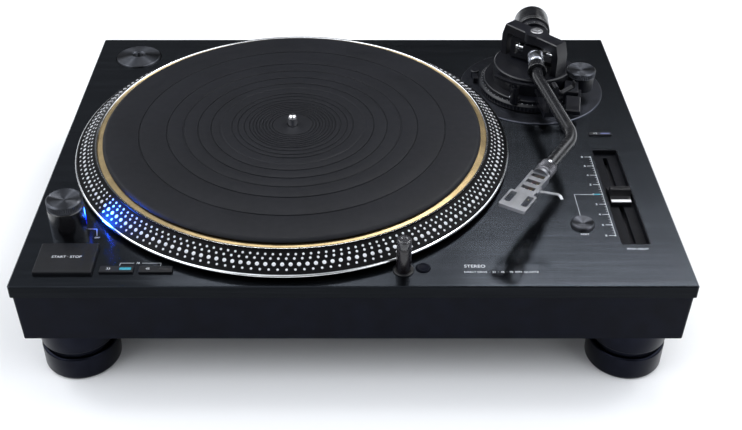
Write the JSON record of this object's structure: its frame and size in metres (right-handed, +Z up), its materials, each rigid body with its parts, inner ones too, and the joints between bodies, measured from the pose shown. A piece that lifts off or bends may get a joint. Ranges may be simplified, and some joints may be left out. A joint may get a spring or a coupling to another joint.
{
  "type": "turntable record player",
  "caption": "Direct-drive turntable with a strobe-dotted platter, S-shaped tonearm, pitch fader and screw feet.",
  "frame": {"origin": "on the floor under the middle of the deck plate", "axes": "+X to the listener's right, +Y to the back, +Z up the spindle"},
  "size_m": [0.453, 0.3456, 0.145],
  "materials": {
    "deck_black": "brushed, black anodised",
    "body_black": "cast, satin black paint",
    "base_black": "moulded, matt",
    "screw_steel": "zinc plated",
    "coil_copper": "enamelled copper on board",
    "board_green": "solder mask",
    "socket_black": "moulded",
    "jack_gold": "gold plated",
    "tower_black": "gloss",
    "lens_blue": "clear, lit blue from inside",
    "lens_smoke": "smoked",
    "dial_black": "spun, black anodised",
    "platter_silver": "diamond cut, black strobe band with white dots",
    "brass_plain": "turned",
    "mat_rubber": "moulded, matt",
    "magnet_grey": "ferrite and steel",
    "spindle_chrome": "polished",
    "foot_black": "turned, satin black",
    "arm_black": "satin black",
    "tube_black": "gloss black",
    "hub_grey": "satin grey",
    "shell_silver": "satin silver",
    "lead_colour": "coloured sleeving"
  },
  "bodies": {
    "plinth": {"top_plate": "deck_black", "chassis": "body_black", "base_cover": "base_black", "base_screws": "screw_steel", "stator": "coil_copper", "bearing_housing": "screw_steel", "circuit_boards": "board_green", "ac_inlet": "socket_black", "phono_jacks": "jack_gold", "strobe_tower": "tower_black", "strobe_lens": "lens_blue", "lamp_guide": "socket_black", "fader_bezel": "socket_black", "arm_dish": "arm_black"},
    "platter": {"platter": "platter_silver", "brass_plate": "brass_plain", "platter_screws": "screw_steel", "damping_rubber": "mat_rubber", "platter_mat": "mat_rubber", "rotor_yoke": "magnet_grey", "rotor_magnets": "magnet_grey", "spindle": "spindle_chrome"},
    "foot_front_left": {"foot_front_left": "foot_black"},
    "foot_front_right": {"foot_front_right": "foot_black"},
    "foot_rear_left": {"foot_rear_left": "foot_black"},
    "foot_rear_right": {"foot_rear_right": "foot_black"},
    "start_stop_button": {"start_stop_button": "socket_black"},
    "speed_33_button": {"speed_33_button": "socket_black"},
    "speed_45_button": {"speed_45_button": "socket_black"},
    "reset_button": {"reset_button": "dial_black"},
    "range_button": {"range_button": "socket_black"},
    "lamp_button": {"lamp_button": "socket_black"},
    "pitch_slider": {"pitch_slider": "socket_black"},
    "power_dial": {"power_dial": "dial_black"},
    "single_adapter": {"single_adapter": "dial_black"},
    "ground_nut": {"ground_nut": "jack_gold"},
    "height_ring": {"height_ring": "dial_black"},
    "lock_lever": {"lock_lever": "arm_black"},
    "target_lamp": {"target_lamp": "tower_black", "lamp_cap": "lens_smoke"},
    "arm_base": {"arm_pillar": "arm_black", "yoke": "arm_black", "cue_housing": "arm_black", "arm_rest": "arm_black"},
    "arm_clip": {"arm_clip": "socket_black"},
    "antiskate_dial": {"antiskate_dial": "dial_black"},
    "cue_lever": {"cue_lever": "socket_black"},
    "cue_platform": {"cue_platform": "arm_black"},
    "gimbal": {"gimbal_ring": "arm_black", "pivot_screws": "spindle_chrome"},
    "tonearm": {"arm_pivot_block": "tube_black", "arm_tube": "tube_black", "arm_hub": "hub_grey"},
    "weight_bush": {"weight_bush": "socket_black"},
    "counterweight": {"counterweight": "tube_black"},
    "force_ring": {"force_ring": "tube_black"},
    "headshell_collar": {"headshell_collar": "tube_black"},
    "headshell": {"headshell": "shell_silver", "headshell_leads": "lead_colour", "finger_lift": "shell_silver"}
  },
  "joints": [
    {"name": "platter_spin", "type": "hinge", "parent": "plinth", "child": "platter", "pos_m": [-0.0465, -0.0035, 0.1], "axis": [0, 0, -1], "continuous": true},
    {"name": "foot_front_left_height", "type": "slide", "parent": "plinth", "child": "foot_front_left", "axis": [0, 0, -1], "range_m": [0, 0.006]},
    {"name": "foot_front_right_height", "type": "slide", "parent": "plinth", "child": "foot_front_right", "axis": [0, 0, -1], "range_m": [0, 0.006]},
    {"name": "foot_rear_left_height", "type": "slide", "parent": "plinth", "child": "foot_rear_left", "axis": [0, 0, -1], "range_m": [0, 0.006]},
    {"name": "foot_rear_right_height", "type": "slide", "parent": "plinth", "child": "foot_rear_right", "axis": [0, 0, -1], "range_m": [0, 0.006]},
    {"name": "start_stop_button_press", "type": "slide", "parent": "plinth", "child": "start_stop_button", "axis": [0, 0, -1], "range_m": [0, 0.0012], "stiffness_N_per_m": 700, "springref_m": -0.0008},
    {"name": "speed_33_button_press", "type": "slide", "parent": "plinth", "child": "speed_33_button", "axis": [0, 0, -1], "range_m": [0, 0.0012], "stiffness_N_per_m": 700, "springref_m": -0.0008},
    {"name": "speed_45_button_press", "type": "slide", "parent": "plinth", "child": "speed_45_button", "axis": [0, 0, -1], "range_m": [0, 0.0012], "stiffness_N_per_m": 700, "springref_m": -0.0008},
    {"name": "reset_button_press", "type": "slide", "parent": "plinth", "child": "reset_button", "axis": [0, 0, -1], "range_m": [0, 0.0012], "stiffness_N_per_m": 700, "springref_m": -0.0008},
    {"name": "range_button_press", "type": "slide", "parent": "plinth", "child": "range_button", "axis": [0, 0, -1], "range_m": [0, 0.0012], "stiffness_N_per_m": 700, "springref_m": -0.0008},
    {"name": "lamp_button_press", "type": "slide", "parent": "plinth", "child": "lamp_button", "axis": [0, 0, -1], "range_m": [0, 0.0012], "stiffness_N_per_m": 700, "springref_m": -0.0008},
    {"name": "target_lamp_pop", "type": "slide", "parent": "plinth", "child": "target_lamp", "axis": [0, 0, 1], "range_m": [-0.025, 0], "stiffness_N_per_m": 60, "springref_m": 0.008},
    {"name": "pitch_slide", "type": "slide", "parent": "plinth", "child": "pitch_slider", "axis": [0, -1, 0], "range_m": [-0.0485, 0.0485]},
    {"name": "power_turn", "type": "hinge", "parent": "plinth", "child": "power_dial", "pos_m": [-0.1976, -0.1125, 0.112], "axis": [0, 0, 1], "range_deg": [0, 45]},
    {"name": "adapter_lift", "type": "slide", "parent": "plinth", "child": "single_adapter", "axis": [0, 0, 1], "range_m": [0, 0.02]},
    {"name": "ground_nut_turn", "type": "hinge", "parent": "plinth", "child": "ground_nut", "pos_m": [0.106, 0.16, 0.061], "axis": [0, 1, 0], "range_deg": [0, 720]},
    {"name": "height_ring_turn", "type": "hinge", "parent": "plinth", "child": "height_ring", "pos_m": [0.15, 0.085, 0.0946], "axis": [0, 0, 1], "range_deg": [0, 300]},
    {"name": "arm_height", "type": "slide", "parent": "plinth", "child": "arm_base", "axis": [0, 0, 1], "range_m": [0, 0.006]},
    {"name": "lock_lever_turn", "type": "hinge", "parent": "plinth", "child": "lock_lever", "pos_m": [0.104, 0.103, 0.094], "axis": [0, 0, -1], "range_deg": [0, 60]},
    {"name": "antiskate_turn", "type": "hinge", "parent": "arm_base", "child": "antiskate_dial", "pos_m": [0.18801, 0.07303, 0.112], "axis": [0, 0, 1], "range_deg": [0, 300]},
    {"name": "cue_lever_lift", "type": "hinge", "parent": "arm_base", "child": "cue_lever", "pos_m": [0.17961, 0.04868, 0.1055], "axis": [-0.9816, 0.1908, 0], "range_deg": [0, 25]},
    {"name": "cue_platform_rise", "type": "slide", "parent": "arm_base", "child": "cue_platform", "axis": [0, 0, 1], "range_m": [0, 0.0035]},
    {"name": "arm_clip_close", "type": "hinge", "parent": "arm_base", "child": "arm_clip", "pos_m": [0.15834, 0.02843, 0.1235], "axis": [0.1461, -0.9893, 0], "range_deg": [0, 150]},
    {"name": "arm_swing", "type": "hinge", "parent": "arm_base", "child": "gimbal", "pos_m": [0.15, 0.085, 0.1255], "axis": [0, 0, -1], "range_deg": [0, 42]},
    {"name": "arm_dip", "type": "hinge", "parent": "gimbal", "child": "tonearm", "pos_m": [0.15, 0.085, 0.1255], "axis": [-0.848, 0.5299, 0], "range_deg": [0, 12]},
    {"name": "weight_travel", "type": "slide", "parent": "tonearm", "child": "weight_bush", "axis": [0.0793, 0.9968, 0], "range_m": [-0.002, 0.008]},
    {"name": "weight_turn", "type": "hinge", "parent": "weight_bush", "child": "counterweight", "pos_m": [0.15, 0.085, 0.1255], "axis": [0.0793, 0.9968, 0], "range_deg": [-360, 1440]},
    {"name": "force_ring_turn", "type": "hinge", "parent": "counterweight", "child": "force_ring", "pos_m": [0.15, 0.085, 0.1255], "axis": [0.0793, 0.9968, 0], "range_deg": [-180, 180]},
    {"name": "collar_turn", "type": "hinge", "parent": "tonearm", "child": "headshell_collar", "pos_m": [0.13188, -0.09275, 0.1255], "axis": [-0.5299, -0.848, 0], "range_deg": [0, 90]},
    {"name": "headshell_pull", "type": "slide", "parent": "tonearm", "child": "headshell", "axis": [-0.5299, -0.848, 0], "range_m": [0, 0.02]}
  ],
  "couplings": [
    {"joint": "height_ring_turn", "follows": "arm_height", "rad_per_m": 872.66},
    {"joint": "cue_lever_lift", "follows": "cue_platform_rise", "rad_per_m": 124.66},
    {"joint": "weight_turn", "follows": "weight_travel", "rad_per_m": 3141.6}
  ]
}
